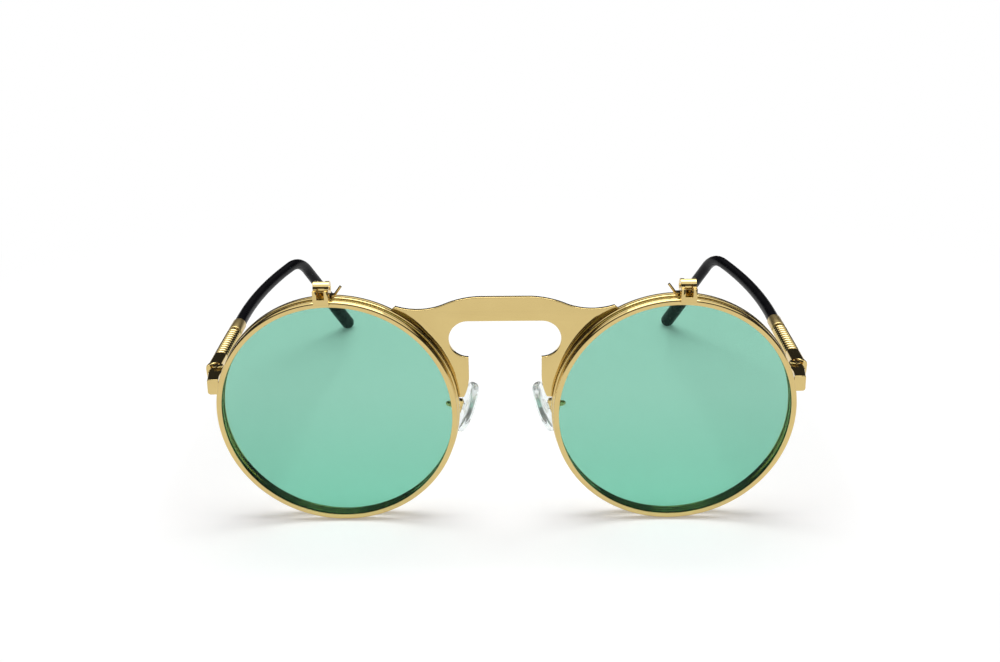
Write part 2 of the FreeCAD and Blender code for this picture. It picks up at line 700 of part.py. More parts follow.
def make_pad_oval():
    """Silicone oval of four tangent arcs, more rounded on the side that lies on the nose."""
    reach = "(pad_height / 2 - pad_end_radius)"
    half = "(pad_width / 2)"
    side = "((%s^2 + %s^2 - pad_end_radius^2) / (2 * (%s - pad_end_radius)))" % (reach, half, half)
    share = "(%s - pad_end_radius)" % side
    corner_y = "((%s - %s) * pad_end_radius / %s)" % (side, half, share)
    corner_z = "(%s * %s / %s)" % (side, reach, share)
    body = padded_body("pad_oval", "YZ_Plane", [
        (corner_y, "-" + corner_z), (corner_y, corner_z), ("-" + corner_y, corner_z),
        ("-" + corner_y, "-" + corner_z),
    ], "pad_thickness", {0: (side, 1), 1: ("pad_end_radius", 1), 2: (side, 1), 3: ("pad_end_radius", 1)})
    doc.recompute()
    in_plane = 1e-6
    for name, depth, radius in (("pad_nose_edge", 0, "pad_nose_round"),
                                ("pad_back_edge", size("pad_thickness"), "pad_back_round")):
        base = body.Tip
        edges = ["Edge%d" % number for number, edge in enumerate(base.Shape.Edges, start=1)
                 if all(abs(vertex.Point.x - depth) < in_plane for vertex in edge.Vertexes)]
        rounding = body.newObject("PartDesign::Fillet", name)
        rounding.Base = (base, edges)
        bind(rounding, Radius=radius)
        doc.recompute()
    return seat(body, "-(pad_flat + pad_thickness)", "0", "0")


def make_pad_stud():
    return box("pad_stud", "-(pad_flat + pad_thickness / 2)", "-stud_width / 2", "-stud_height / 2",
               "pad_flat + pad_thickness / 2 + stud_depth", "stud_width", "stud_height")


def make_pad_bore():
    return cylinder("stud_bore", "0", "-pad_width", "0", "pad_screw_radius + running_fit", "2 * pad_width",
                    ALONG_Y)


def make_nose_pads():
    """Nose pads rock on a screw in a small cup at the end of a bent wire arm."""
    place = Placement(
        Vector(size("pad_half"), size("front_y + pad_back"), size("rim_outer_radius - pad_drop")),
        Rotation(Vector(0, 0, 1), -size("pad_splay_angle"))
        * Rotation(Vector(0, 1, 0), -size("pad_frontal_angle")))

    pad = cut("nose_pad", fuse("pad_solid", make_pad_oval(), make_pad_stud()), make_pad_bore())
    pad.Placement = place
    keep_pair(pad, "nose_pad")

    cup_y = "(stud_width / 2 + cup_side_play + cup_wall)"
    cup_z = "(stud_height / 2 + cup_play + cup_wall)"
    cup_end = "(stud_depth + cup_end_play + cup_wall)"
    shell = box("cup_shell", "-cup_front", "-" + cup_y, "-" + cup_z, "cup_front + " + cup_end,
                "2 * " + cup_y, "2 * " + cup_z)
    slot = box("cup_slot", "-2 * cup_front", "-(%s - cup_wall)" % cup_y, "-(%s - cup_wall)" % cup_z,
               "2 * cup_front + %s - cup_wall" % cup_end, "2 * (%s - cup_wall)" % cup_y,
               "2 * (%s - cup_wall)" % cup_z)
    bore = cylinder("cup_bore", "0", "-2 * " + cup_y, "0", "pad_screw_radius", "4 * " + cup_y, ALONG_Y)
    cup = cut("pad_cup", shell, slot, bore)
    cup.Placement = place
    keep_pair(cup, "pad_cup")

    shank = cylinder("pad_shank", "0", "-" + cup_y, "0", "pad_screw_radius", "2 * " + cup_y, ALONG_Y)
    head = cylinder("pad_head", "0", cup_y, "0", "pad_screw_head", "pad_screw_head_height", ALONG_Y)
    screw = fuse("pad_screw", shank, head)
    screw.Placement = place
    keep_pair(screw, "pad_screw")

    start = Vector(size("bridge_half + rim_width / 2"), size(RIM_BACK), size(EYE_HEIGHT))
    stop = place.multVec(Vector(size(cup_end), 0, 0))
    back = Vector(0, 1, 0)
    inward = place.Rotation.multVec(Vector(-1, 0, 0))
    lead = size("arm_lead")
    edges = [Part.LineSegment(start, start + back * lead).toShape()]
    edges += biarc(start + back * lead, back, stop - inward * lead, inward)
    edges.append(Part.LineSegment(stop - inward * lead, stop).toShape())
    keep_pair(sweep("pad_arm", edges, "arm_radius"), "pad_arm")


make_rims()
make_lenses()
make_bridge()
make_flip_hinges()
make_end_pieces()
make_rim_locks()
make_temples()
make_nose_pads()
doc.recompute()

failed = [item.Name for item in doc.Objects if "Invalid" in item.State or "Error" in item.State]
failed += [item.Label for item in sub_parts if item.Shape.isNull() or not item.Shape.isValid()]
if failed:
    raise RuntimeError("failed objects: " + ", ".join(failed))

os.makedirs("parts", exist_ok=True)
for item in sub_parts:
    item.Shape.exportStep("parts/%s.step" % item.Label)
print("%d sub-parts written" % len(sub_parts))
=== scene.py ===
import math

import bmesh
import bpy
import numpy as np
from mathutils import Matrix, Vector


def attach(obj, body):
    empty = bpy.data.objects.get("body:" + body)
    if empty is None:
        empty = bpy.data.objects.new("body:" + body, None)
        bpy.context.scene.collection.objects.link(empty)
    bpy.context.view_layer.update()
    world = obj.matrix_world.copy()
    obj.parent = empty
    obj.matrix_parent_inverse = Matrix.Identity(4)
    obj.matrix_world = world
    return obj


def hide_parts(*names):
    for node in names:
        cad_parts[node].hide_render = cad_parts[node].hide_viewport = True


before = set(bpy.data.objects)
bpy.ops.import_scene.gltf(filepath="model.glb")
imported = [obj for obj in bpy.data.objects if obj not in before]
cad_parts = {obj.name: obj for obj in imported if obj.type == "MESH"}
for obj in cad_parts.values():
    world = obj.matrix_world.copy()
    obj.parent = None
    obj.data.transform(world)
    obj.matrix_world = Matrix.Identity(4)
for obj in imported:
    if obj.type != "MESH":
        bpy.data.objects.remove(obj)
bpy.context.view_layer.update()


# Fixed rims
# Two round eye wires of nickel silver, rolled with a lens groove inside and two beads outside, bent into a
# ring, gold plated and polished. Each is sawn through beside its temple, where the lock draws it closed.

SIDES = (("left", -1), ("right", 1))
MM = 0.001

# Sizes are in millimetres. EYE is the middle of the right lens, FRONT_Y the foremost face of the flip rims.
EYE = np.array([37.0, 0.0, 26.8])
FRONT_Y = -62.52
RIM_SETBACK = 2.3
RIM_FRONT = FRONT_Y + RIM_SETBACK
RIM = {"outer": 26.8, "inner": 25.5, "depth": 2.0, "front": 0.35, "edge": 0.1, "lip": 0.06, "slope": 0.3}
FACE_LAND = 0.06
LENS_THICK = 1.0
GROOVE_DEPTH = 0.6
GROOVE_FIT = 0.04
GROOVE_ROUND = 0.03
BEAD = {"height": 0.12, "crest": 0.3, "clear": 0.02, "steps": 29}
SAW_CUT = 0.06
RING_STEPS = 240
CORNER_STEPS = 8


def rounded(corners, radii, steps=5):
    """Closed outline whose corners become arcs. At each corner the arc's centre lies on the bisector, and
    the arc's points are the spherical blend of its first and last radius."""
    corners = np.asarray(corners, float)
    radii = np.asarray(radii, float)[:, None]
    back = np.roll(corners, 1, axis=0) - corners
    ahead = np.roll(corners, -1, axis=0) - corners
    back /= np.linalg.norm(back, axis=1, keepdims=True)
    ahead /= np.linalg.norm(ahead, axis=1, keepdims=True)
    half = np.arccos(np.clip((back * ahead).sum(1, keepdims=True), -1, 1)) / 2
    bisector = back + ahead
    bisector /= np.linalg.norm(bisector, axis=1, keepdims=True)
    centre = corners + bisector * radii / np.sin(half)
    first = corners + back * radii / np.tan(half) - centre
    last = corners + ahead * radii / np.tan(half) - centre
    sweep = (np.pi - 2 * half)[:, None]
    share = np.linspace(0, 1, steps + 1)[None, :, None]
    blend = np.sin((1 - share) * sweep) * first[:, None] + np.sin(share * sweep) * last[:, None]
    return (centre[:, None] + blend / np.sin(sweep)).reshape(-1, 2)


def mesh_of(name, grids, smooth_angle=35):
    """One mesh of closed surfaces. Each grid is an array of rows of points in millimetres, with a flag for
    rows that close on the first one. Columns always close, and open ends get a flat face each. The signed
    volume, a sixth of the sum of the triangles' triple products, turns an inside-out surface round."""
    points, faces = [], []
    offset = 0
    for grid, rows_close in grids:
        rows, columns = grid.shape[:2]
        index = np.arange(rows * columns).reshape(rows, columns)
        below = index if rows_close else index[:-1]
        above = np.roll(index, -1, axis=0) if rows_close else index[1:]
        corners = [below, np.roll(below, -1, 1), np.roll(above, -1, 1), above]
        quads = np.stack(corners, axis=-1).reshape(-1, 4)
        flat = grid.reshape(-1, 3)
        a, b, c, d = (flat[quads[:, i]] for i in range(4))
        volume = (np.cross(a, b) * c + np.cross(a, c) * d).sum()
        caps = []
        if not rows_close:
            caps = [index[0][::-1], index[-1]]
            for cap in caps:
                ring = flat[cap]
                volume += (np.cross(ring[0], ring[1:-1]) * ring[2:]).sum()
        if volume < 0:
            quads = quads[:, ::-1]
            caps = [cap[::-1] for cap in caps]
        faces += (quads + offset).tolist() + [(cap + offset).tolist() for cap in caps]
        points.append(flat)
        offset += len(flat)
    mesh = bpy.data.meshes.new(name)
    mesh.from_pydata((np.concatenate(points) * MM).tolist(), [], faces)
    mesh.polygons.foreach_set("use_smooth", np.ones(len(mesh.polygons), bool))
    mesh.set_sharp_from_angle(angle=math.radians(smooth_angle))
    mesh.update()
    return mesh


def piece_of(name, mesh, material, body, slot, *nodes):
    """A finished piece: an object at the origin that rides on a body and stands for CAD nodes."""
    piece = bpy.data.objects.new(name, mesh)
    bpy.context.scene.collection.objects.link(piece)
    mesh.materials.append(material)
    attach(piece, body)
    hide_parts(*nodes)
    return piece


def turned(profile, centre, sign=1, start=0.0, stop=2 * np.pi, steps=RING_STEPS):
    """A profile of radius and depth carried round the lens axis: each point goes to the centre plus its
    radius along the cosine and sine of the turn, and its depth along Y. Left pieces are mirrored in X."""
    closed = math.isclose(stop - start, 2 * np.pi)
    turn = np.linspace(start, stop, steps, endpoint=not closed)[:, None]
    radius, depth = profile[:, 0][None], profile[:, 1][None]
    grid = np.stack([radius * np.cos(turn), depth + 0 * turn, radius * np.sin(turn)], axis=-1) + centre
    return grid * [sign, 1, 1], closed


def ring_profile(rim):
    """Section of an eye wire. Outside lie two beads: the radius falls by the bead height times the square of
    the distance to the nearer crest, over the distance from crest to middle. The front edge is rolled round
    before the first crest, the face beside it slopes back towards the lens, and inside is the groove."""
    outer, inner, depth = rim["outer"], rim["inner"], rim["depth"]
    front, edge, lip = rim["front"], rim["edge"], rim["lip"]
    middle, crest = depth / 2, BEAD["crest"] * depth
    run = np.linspace(front + BEAD["clear"], depth - edge - BEAD["clear"], BEAD["steps"])
    beads = np.stack([outer - BEAD["height"] * ((np.abs(run - middle) - crest) / crest) ** 2, run], axis=1)
    low = middle - LENS_THICK / 2 - GROOVE_FIT
    high = middle + LENS_THICK / 2 + GROOVE_FIT
    floor = inner + GROOVE_DEPTH
    first, last = beads[0, 0], beads[-1, 0]
    corners = [(first, 0), (last, depth), (inner, depth), (inner, high), (floor, high), (floor, low),
               (inner, low), (inner, rim["slope"]), (first - front - FACE_LAND, 0)]
    radii = [front, edge, lip, lip, GROOVE_ROUND, GROOVE_ROUND, lip, lip, front]
    section = rounded(corners, radii, CORNER_STEPS)
    return np.concatenate([section[:CORNER_STEPS + 1], beads, section[CORNER_STEPS + 1:]])


def linear(text):
    """An sRGB hex colour as linear red, green and blue, with full alpha: a part near black is divided by
    12.92, any other is offset by 0.055, divided by 1.055 and raised to the power 2.4."""
    part = np.array([int(text[i:i + 2], 16) for i in (1, 3, 5)]) / 255
    part = np.where(part <= 0.04045, part / 12.92, ((part + 0.055) / 1.055) ** 2.4)
    return (*part.tolist(), 1.0)


def add(material, kind, links=None, **settings):
    """Adds a node. Settings are sockets by name or the node's own attributes, and links map an input's name
    or number to another node's output. A Mix node's numbers are its inputs 2 and 3, its colours 6 and 7."""
    node = material.node_tree.nodes.new(kind)
    for key, value in settings.items():
        if hasattr(node, key):
            setattr(node, key, value)
        else:
            node.inputs[key.replace("_", " ")].default_value = value
    for key, output in (links or {}).items():
        target = node.inputs[key] if isinstance(key, int) else node.inputs[key.replace("_", " ")]
        material.node_tree.links.new(output, target)
    return node


def new_material(name):
    """A material with no nodes yet."""
    material = bpy.data.materials.new(name)
    material.use_nodes = True
    material.node_tree.nodes.clear()
    return material


def grain(*sizes):
    """Scale of a pattern whose grains are so many millimetres long, all round or along X, Y and Z."""
    scales = tuple(1000 / size for size in sizes)
    return scales if len(scales) == 3 else scales[0]


# Gold plating over polished nickel silver: a mirror with a faint orange-peel of the polishing wheel, fine
# hairlines that vary the gloss, and slightly redder and paler patches a few millimetres across. The
# hairlines are drawn a few times coarser than they are, so that they show.
gold = new_material("gold_plated_nickel_silver_polished")
place = add(gold, "ShaderNodeTexCoord")
patch = add(gold, "ShaderNodeTexNoise", {"Vector": place.outputs["Object"]}, Scale=grain(5.5), Detail=3.0)
tint = add(gold, "ShaderNodeMix", {0: patch.outputs[0]}, data_type="RGBA")
tint.inputs[6].default_value = linear("#D9C183")
tint.inputs[7].default_value = linear("#D1B87A")
hair = add(gold, "ShaderNodeMapping", {"Vector": place.outputs["Object"]}, Scale=grain(0.11, 1.1, 0.4))
hairline = add(gold, "ShaderNodeTexNoise", {"Vector": hair.outputs[0]}, Scale=1.0, Detail=2.0)
gloss = add(gold, "ShaderNodeMapRange", {"Value": hairline.outputs[0]}, To_Min=0.04, To_Max=0.11)
peel = add(gold, "ShaderNodeTexNoise", {"Vector": place.outputs["Object"]}, Scale=grain(1.1), Detail=1.0)
bump = add(gold, "ShaderNodeBump", {"Height": peel.outputs[0]}, Strength=0.02, Distance=0.0002)
shader = add(gold, "ShaderNodeBsdfPrincipled",
             {"Base Color": tint.outputs[2], "Roughness": gloss.outputs[0], "Normal": bump.outputs[0]},
             Metallic=1.0)
add(gold, "ShaderNodeOutputMaterial", {"Surface": shader.outputs[0]})

for side, sign in SIDES:
    saw = SAW_CUT / 2 / RIM["outer"]
    ring = turned(ring_profile(RIM), EYE + [0, RIM_FRONT, 0], sign, saw, 2 * np.pi - saw)
    wire = mesh_of("eye_wire_" + side, [ring])
    piece_of("eye_wire_" + side, wire, gold, "front", "gold_plate", "rim_" + side)


# Clear lenses
# Flat discs of clear optical plastic, cut round with a small safety bevel, held by the fixed rims' grooves.

LENS_SINK = 0.56
LENS_BEVEL = 0.12
LENS_WAVE = 16.0


def lens_disc(rim, front, sign):
    """A disc turned from a bevelled edge: the flat faces are its two open ends."""
    radius = rim["inner"] + LENS_SINK
    near = front + (rim["depth"] - LENS_THICK) / 2
    far = near + LENS_THICK
    edge = np.array([(radius - LENS_BEVEL, near), (radius, near + LENS_BEVEL), (radius, far - LENS_BEVEL),
                     (radius - LENS_BEVEL, far)])
    grid, _ = turned(edge, EYE, sign)
    return grid.transpose(1, 0, 2), False


# Clear optical plastic: colourless, polished, with a trace of waviness a centimetre or two long.
clear_plastic = new_material("clear_optical_plastic_polished")
place = add(clear_plastic, "ShaderNodeTexCoord")
wave = add(clear_plastic, "ShaderNodeTexNoise", {"Vector": place.outputs["Object"]}, Scale=grain(LENS_WAVE),
           Detail=0.0)
bump = add(clear_plastic, "ShaderNodeBump", {"Height": wave.outputs[0]}, Strength=0.01, Distance=0.0005)
shader = add(clear_plastic, "ShaderNodeBsdfPrincipled", {"Normal": bump.outputs[0]}, Transmission_Weight=1.0,
             Roughness=0.0, IOR=1.5, Specular_Tint=linear("#2A2E2C"), Base_Color=linear("#FBFDFC"))
add(clear_plastic, "ShaderNodeOutputMaterial", {"Surface": shader.outputs[0]})

for side, sign in SIDES:
    disc = mesh_of("inner_lens_" + side, [lens_disc(RIM, RIM_FRONT, sign)])
    lens = piece_of("inner_lens_" + side, disc, clear_plastic, "front", "clear_lens", "clear_lens_" + side)
    lens.visible_shadow = False


# Bridge plate
# One flat plate of gold plated nickel silver, stamped with a keyhole window and a nose gap, its edges
# tumbled round. Its wings and legs are brazed to the outside of the fixed rims.

PLATE = {"near": RIM_FRONT + 0.9, "far": RIM_FRONT + 1.9, "edge": 0.15}
RIM_TOP = 2 * EYE[2]
CREST = {"half_width": 5.3, "drop": 0.55, "round": 21.0}
WAIST = {"half_width": 13.4, "drop": 2.4, "round": 15.0}
WING = {"reach": 27.76, "tip_degrees": 60.66, "joint_degrees": 61.5}
LEG = {"reach": 28.0, "foot_degrees": 6.0, "round": 12.0, "below_keyhole": 8.45}
KEYHOLE = {"half_gap": 7.95, "radius": 4.2, "below_top": 10.2}


def arc(start, stop, radius, turn, steps=14):
    """Points from start to just short of stop on a circle that turns left (1) or right (-1). Its centre lies
    square to the middle of the chord, by the root of the radius squared less half the chord squared."""
    start, stop = np.asarray(start, float), np.asarray(stop, float)
    chord = stop - start
    length = np.linalg.norm(chord)
    left = np.array([-chord[1], chord[0]]) / length
    centre = (start + stop) / 2 + left * turn * math.sqrt(radius ** 2 - length ** 2 / 4)
    begin = math.atan2(*(start - centre)[::-1])
    sweep = turn * 2 * math.asin(length / 2 / radius)
    angle = begin + sweep * np.arange(steps) / steps
    return centre + radius * np.stack([np.cos(angle), np.sin(angle)], axis=1)


def beside_rim(radius, degrees):
    """A point on the nose side of the right rim, by its distance and its rise seen from the lens axis."""
    angle = math.radians(degrees)
    return EYE[0] - radius * math.cos(angle), EYE[2] + radius * math.sin(angle)


def slab(outline, near, far, near_edge, far_edge, steps=5):
    """A flat blank with rounded edges: the outline is drawn in along its own normals as it nears each
    face, by one minus the cosine of a quarter turn, while the depth goes by the sine."""
    before, after = np.roll(outline, 1, axis=0), np.roll(outline, -1, axis=0)
    into, out = outline - before, after - outline
    into /= np.linalg.norm(into, axis=1, keepdims=True)
    out /= np.linalg.norm(out, axis=1, keepdims=True)
    along = into + out
    along /= np.linalg.norm(along, axis=1, keepdims=True)
    area = (outline[:, 0] * after[:, 1] - after[:, 0] * outline[:, 1]).sum()
    inward = np.stack([-along[:, 1], along[:, 0]], axis=1) * np.sign(area)
    quarter = np.linspace(0, np.pi / 2, steps + 1)
    drawn = np.concatenate([near_edge * (1 - np.sin(quarter)), far_edge * (1 - np.cos(quarter))])
    depth = np.concatenate([near + near_edge * (1 - np.cos(quarter)),
                            far - far_edge * (1 - np.sin(quarter))])
    plan = outline[None] + inward[None] * drawn[:, None, None]
    level = np.broadcast_to(depth[:, None], plan.shape[:2])
    return np.stack([plan[..., 0], level, plan[..., 1]], axis=-1), False


gap, lobe, rim_radius = KEYHOLE["half_gap"], KEYHOLE["radius"], RIM["outer"]
key_z = RIM_TOP - KEYHOLE["below_top"]
crest = (CREST["half_width"], RIM_TOP - CREST["drop"])
waist = (WAIST["half_width"], RIM_TOP - WAIST["drop"])
wing_tip = beside_rim(WING["reach"], WING["tip_degrees"])
wing_joint = beside_rim(rim_radius, WING["joint_degrees"])
foot_joint = beside_rim(rim_radius, LEG["foot_degrees"])
foot_tip = beside_rim(LEG["reach"], LEG["foot_degrees"])
leg_top = (gap, key_z - LEG["below_keyhole"])
lobe_low, lobe_side, lobe_top = (gap, key_z - lobe), (gap + lobe, key_z), (gap, key_z + lobe)
right_half = np.concatenate([
    arc(crest, waist, CREST["round"], -1), arc(waist, wing_tip, WAIST["round"], 1), [wing_tip],
    arc(wing_joint, foot_joint, rim_radius, 1, steps=48), [foot_joint],
    arc(foot_tip, leg_top, LEG["round"], -1, steps=12), [leg_top],
    arc(lobe_low, lobe_side, lobe, 1), arc(lobe_side, lobe_top, lobe, 1), [lobe_top]])
plate_outline = np.concatenate([right_half, right_half[::-1] * [-1, 1]])
near, far, edge = PLATE["near"], PLATE["far"], PLATE["edge"]
plate = mesh_of("bridge_bar", [slab(plate_outline, near, far, edge, edge)])
piece_of("bridge_bar", plate, gold, "front", "gold_plate", "bridge_plate")


# Flip rims
# Two lighter rings of the same gold plated wire, closed all round, that hang from the flip hinges in front
# of the fixed rims.

FLIP_RIM = {"outer": 26.55, "inner": 25.3, "depth": 1.7, "front": 0.5, "edge": 0.1, "lip": 0.06,
            "slope": 0.06}

for side, sign in SIDES:
    ring = turned(ring_profile(FLIP_RIM), EYE + [0, FRONT_Y, 0], sign)
    piece_of("flip_wire_" + side, mesh_of("flip_wire_" + side, [ring]), gold, "flip_" + side, "gold_plate",
             "flip_rim_" + side)


# Tinted lenses
# Flat discs of optical plastic dyed a pale bottle green, polished, held by the flip rims' grooves.

# Heights over the table where the painted shade at the lens's foot is deepest, and from which on the colour
# is even.
SHADE_FOOT, SHADE_EVEN = 2 * MM, 32 * MM

# Dyed optical plastic: clear and glossy, painted a darker green towards the foot as painted shade of the
# table's shadow seen through it. The dye scatters a few hundredths of the light, which keeps dark things
# behind it green.
green_plastic = new_material("green_dyed_optical_plastic_polished")
place = add(green_plastic, "ShaderNodeTexCoord")
height = add(green_plastic, "ShaderNodeSeparateXYZ", {"Vector": place.outputs["Object"]})
foot_shade = add(green_plastic, "ShaderNodeMapRange", {"Value": height.outputs["Z"]}, From_Min=SHADE_FOOT,
          From_Max=SHADE_EVEN)
# The darker green at the foot is painted shade of the table's shadow seen through the lens.
tint = add(green_plastic, "ShaderNodeMix", {0: foot_shade.outputs[0]}, data_type="RGBA")
tint.inputs[6].default_value = linear("#7DC5AD")
tint.inputs[7].default_value = linear("#94CCB8")
wave = add(green_plastic, "ShaderNodeTexNoise", {"Vector": place.outputs["Object"]}, Scale=grain(LENS_WAVE),
           Detail=0.0)
bump = add(green_plastic, "ShaderNodeBump", {"Height": wave.outputs[0]}, Strength=0.01, Distance=0.0005)
shader = add(green_plastic, "ShaderNodeBsdfPrincipled",
             {"Base Color": tint.outputs[2], "Normal": bump.outputs[0]}, Transmission_Weight=0.97,
             Roughness=0.0, IOR=1.5, Specular_Tint=linear("#2A2E2C"))
add(green_plastic, "ShaderNodeOutputMaterial", {"Surface": shader.outputs[0]})

for side, sign in SIDES:
    disc = mesh_of("tinted_lens_" + side, [lens_disc(FLIP_RIM, FRONT_Y, sign)])
    lens = piece_of("tinted_lens_" + side, disc, green_plastic, "flip_" + side, "green_lens",
                    "flip_lens_" + side)
    lens.visible_shadow = False


# Flip hinges
# A knuckle on a foot with a leaning peg, brazed to the top of the fixed rim, a bent bracket on the flip rim
# whose two lugs and cap go round it, and a plain pin through all three. Cast, filed, plated and polished.

KNUCKLE_BREAK, BRACKET_BREAK = 0.08, 0.1
MERGE = 1e-6

# Faces within FLAT of one plane are joined, edges over SHARP stay sharp, and edges over BROKEN are bevelled.
FLAT, SHARP, BROKEN = (math.radians(degrees) for degrees in (2, 30, 40))


def softened(name, node, width, body, slot, material):
    """A copy of a CAD solid, its triangles merged and its flat faces joined, with its edges broken by a
    bevel of a given width in millimetres, as tumbling leaves them."""
    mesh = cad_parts[node].data.copy()
    shape = bmesh.new()
    shape.from_mesh(mesh)
    bmesh.ops.remove_doubles(shape, verts=shape.verts, dist=MERGE)
    bmesh.ops.dissolve_limit(shape, angle_limit=FLAT, verts=shape.verts, edges=shape.edges)
    shape.to_mesh(mesh)
    shape.free()
    mesh.materials.clear()
    mesh.polygons.foreach_set("use_smooth", np.ones(len(mesh.polygons), bool))
    mesh.set_sharp_from_angle(angle=SHARP)
    piece = piece_of(name, mesh, material, body, slot, node)
    bevel = piece.modifiers.new("broken_edges", "BEVEL")
    bevel.width = width * MM
    bevel.segments = 2
    bevel.limit_method = "ANGLE"
    bevel.angle_limit = BROKEN
    bevel.harden_normals = True


for side, _ in SIDES:
    softened("hinge_knuckle_" + side, "flip_hinge_base_" + side, KNUCKLE_BREAK, "front", "gold_plate", gold)
    softened("hinge_bracket_" + side, "flip_hinge_bracket_" + side, BRACKET_BREAK, "flip_" + side,
             "gold_plate", gold)
    softened("hinge_pin_" + side, "flip_hinge_pin_" + side, BRACKET_BREAK, "front", "gold_plate", gold)


# End pieces and hinge screws
# Tabs brazed to the fixed rims' outer sides, bent back and slotted into forks, their corners filed round.
# A slotted screw goes down through each fork and the temple's tongue.

PIN = np.array([65.1, FRONT_Y + 9.5, 32.8])
TAB = {"front": FRONT_Y + 2.5, "fork": FRONT_Y + 7.45, "root_x": 63.0, "front_x": 65.5, "half_height": 1.8,
       "barrel": 1.6, "slot": 0.7, "flare": 0.2, "first_row": 0.4, "past_fork": 0.1, "front_round": 0.12,
       "fork_round": 0.05}
TAB_CORNERS = [0.05, 0.6, 0.4, 0.05]
FORK_SCREW = {"head": 1.15, "head_height": 0.45, "shank": 0.6, "length": 3.6, "slot": 0.28,
              "slot_depth": 0.25}
SCREW = {"root": 0.05, "edge": 0.05, "seam": 0.01, "rim": 0.1, "sink": 0.02}

# The arms are a hair slimmer than the tab they start in, so that no two faces lie in one plane.
ARM = {"inset": 0.01, "overlap": 0.4, "slot_round": 0.08, "outer_round": 0.3}


def lofted(outline, rows, mapped):
    """One outline carried through rows of distance and inset. Each row draws the outline in towards its
    middle by the inset, and a mapping takes outline and distance to a point."""
    middle = (outline.min(axis=0) + outline.max(axis=0)) / 2
    reach = (outline.max(axis=0) - outline.min(axis=0)) / 2
    distance, inset = (np.array(column)[:, None] for column in zip(*rows))
    plan = middle + (outline - middle)[None] * (1 - inset[:, :, None] / reach)
    return mapped(plan[..., 0], plan[..., 1], distance + 0 * plan[..., 0]), False


def filed_rows(start, stop, start_round, stop_round, between):
    """Distances and insets of a bar whose two ends are rounded by quarter circles of the given radii."""
    quarter = np.linspace(0, np.pi / 2, 5)
    first = zip(start + start_round * (1 - np.cos(quarter)), start_round * (1 - np.sin(quarter)))
    last = zip(stop - stop_round * (1 - np.sin(quarter)), stop_round * (1 - np.cos(quarter)))
    return [*first, *((step, 0.0) for step in between), *last]


def tab_root(x, z, y):
    """Widens the front outline with depth, from the tab's front width to the fork's barrel."""
    share = (y - TAB["front"]) / (TAB["fork"] - TAB["front"])
    inner = TAB["root_x"] + np.clip(2 * share, 0, 1) * (PIN[0] - TAB["barrel"] - TAB["root_x"])
    outer = TAB["front_x"] + share * (PIN[0] + TAB["barrel"] - TAB["front_x"])
    across = (x - TAB["root_x"]) / (TAB["front_x"] - TAB["root_x"])
    return np.stack([inner + across * (outer - inner), y, PIN[2] + z], axis=-1)


def slotted_screw(size, put):
    """A shank, a flat head on it and two half-discs on the head that leave the driver's slot between them.
    The screw stands along its own third axis, with the underside of the head at zero."""
    turn = np.linspace(0, 2 * np.pi, 40, endpoint=False)
    ring = np.stack([np.cos(turn), np.sin(turn)], axis=1)
    floor = size["head_height"] - size["slot_depth"]
    edge = math.acos(size["slot"] / 2 / size["head"])
    sweep = np.linspace(-edge, edge, 24)
    half = size["head"] * np.stack([np.cos(sweep), np.sin(sweep)], axis=1)
    low, top = floor - SCREW["sink"], size["head_height"]
    blanks = [slab(ring * size["shank"], -size["length"], SCREW["root"], SCREW["edge"], SCREW["seam"]),
              slab(ring * size["head"], 0, floor, SCREW["edge"], SCREW["seam"]),
              slab(half, low, top, SCREW["seam"], SCREW["rim"]),
              slab(half * [-1, 1], low, top, SCREW["seam"], SCREW["rim"])]
    return [(put(grid[..., [0, 2, 1]]), closed) for grid, closed in blanks]


for side, sign in SIDES:
    height, slot = TAB["half_height"], TAB["slot"]
    front = rounded([(TAB["root_x"], -height), (TAB["front_x"] + TAB["flare"], -height),
                     (TAB["front_x"], height), (TAB["root_x"], height)], TAB_CORNERS, steps=6)
    between = np.linspace(TAB["front"] + TAB["first_row"], TAB["fork"], 8)
    rows = filed_rows(TAB["front"], TAB["fork"] + TAB["past_fork"], TAB["front_round"], TAB["fork_round"],
                      between)
    grids = [lofted(front, rows, tab_root)]
    turn = np.linspace(0, np.pi, 25)
    barrel, top = TAB["barrel"] - ARM["inset"], height - ARM["inset"]
    eye = PIN[:2] + barrel * np.stack([np.cos(turn), np.sin(turn)], axis=1)
    root = TAB["fork"] - ARM["overlap"]
    arm = np.concatenate([[(PIN[0] - barrel, root), (PIN[0] + barrel, root)], eye])
    arms = ((slot, top, ARM["slot_round"], ARM["outer_round"]),
            (-top, -slot, ARM["outer_round"], ARM["slot_round"]))
    for low, high, low_round, high_round in arms:
        grid, closed = slab(arm, PIN[2] + low, PIN[2] + high, low_round, high_round)
        grids.append((grid[..., [0, 2, 1]], closed))
    tab = mesh_of("end_tab_" + side, [(grid * [sign, 1, 1], closed) for grid, closed in grids])
    piece_of("end_tab_" + side, tab, gold, "front", "gold_plate", "end_piece_" + side)
    seat = PIN + [0, 0, height]
    screw = slotted_screw(FORK_SCREW, lambda grid: (grid + seat) * [sign, 1, 1])
    piece_of("fork_screw_" + side, mesh_of("fork_screw_" + side, screw), gold, "front", "gold_plate",
             "hinge_screw_" + side)


# Rim locks
# Two small barrels brazed behind each saw cut, and the slotted screw that draws them together over the lens.

LOCK = {"x": 63.55, "y": RIM_FRONT + 2.72, "half": 0.55, "half_depth": 0.75, "gap": 0.15, "height": 1.5,
        "gap_round": 0.08, "end_round": 0.12}
LOCK_CORNERS = [0.2, 0.2, 0.5, 0.5]
LOCK_SCREW = {"head": 0.52, "head_height": 0.4, "shank": 0.4, "length": 3.3, "slot": 0.16, "slot_depth": 0.2}

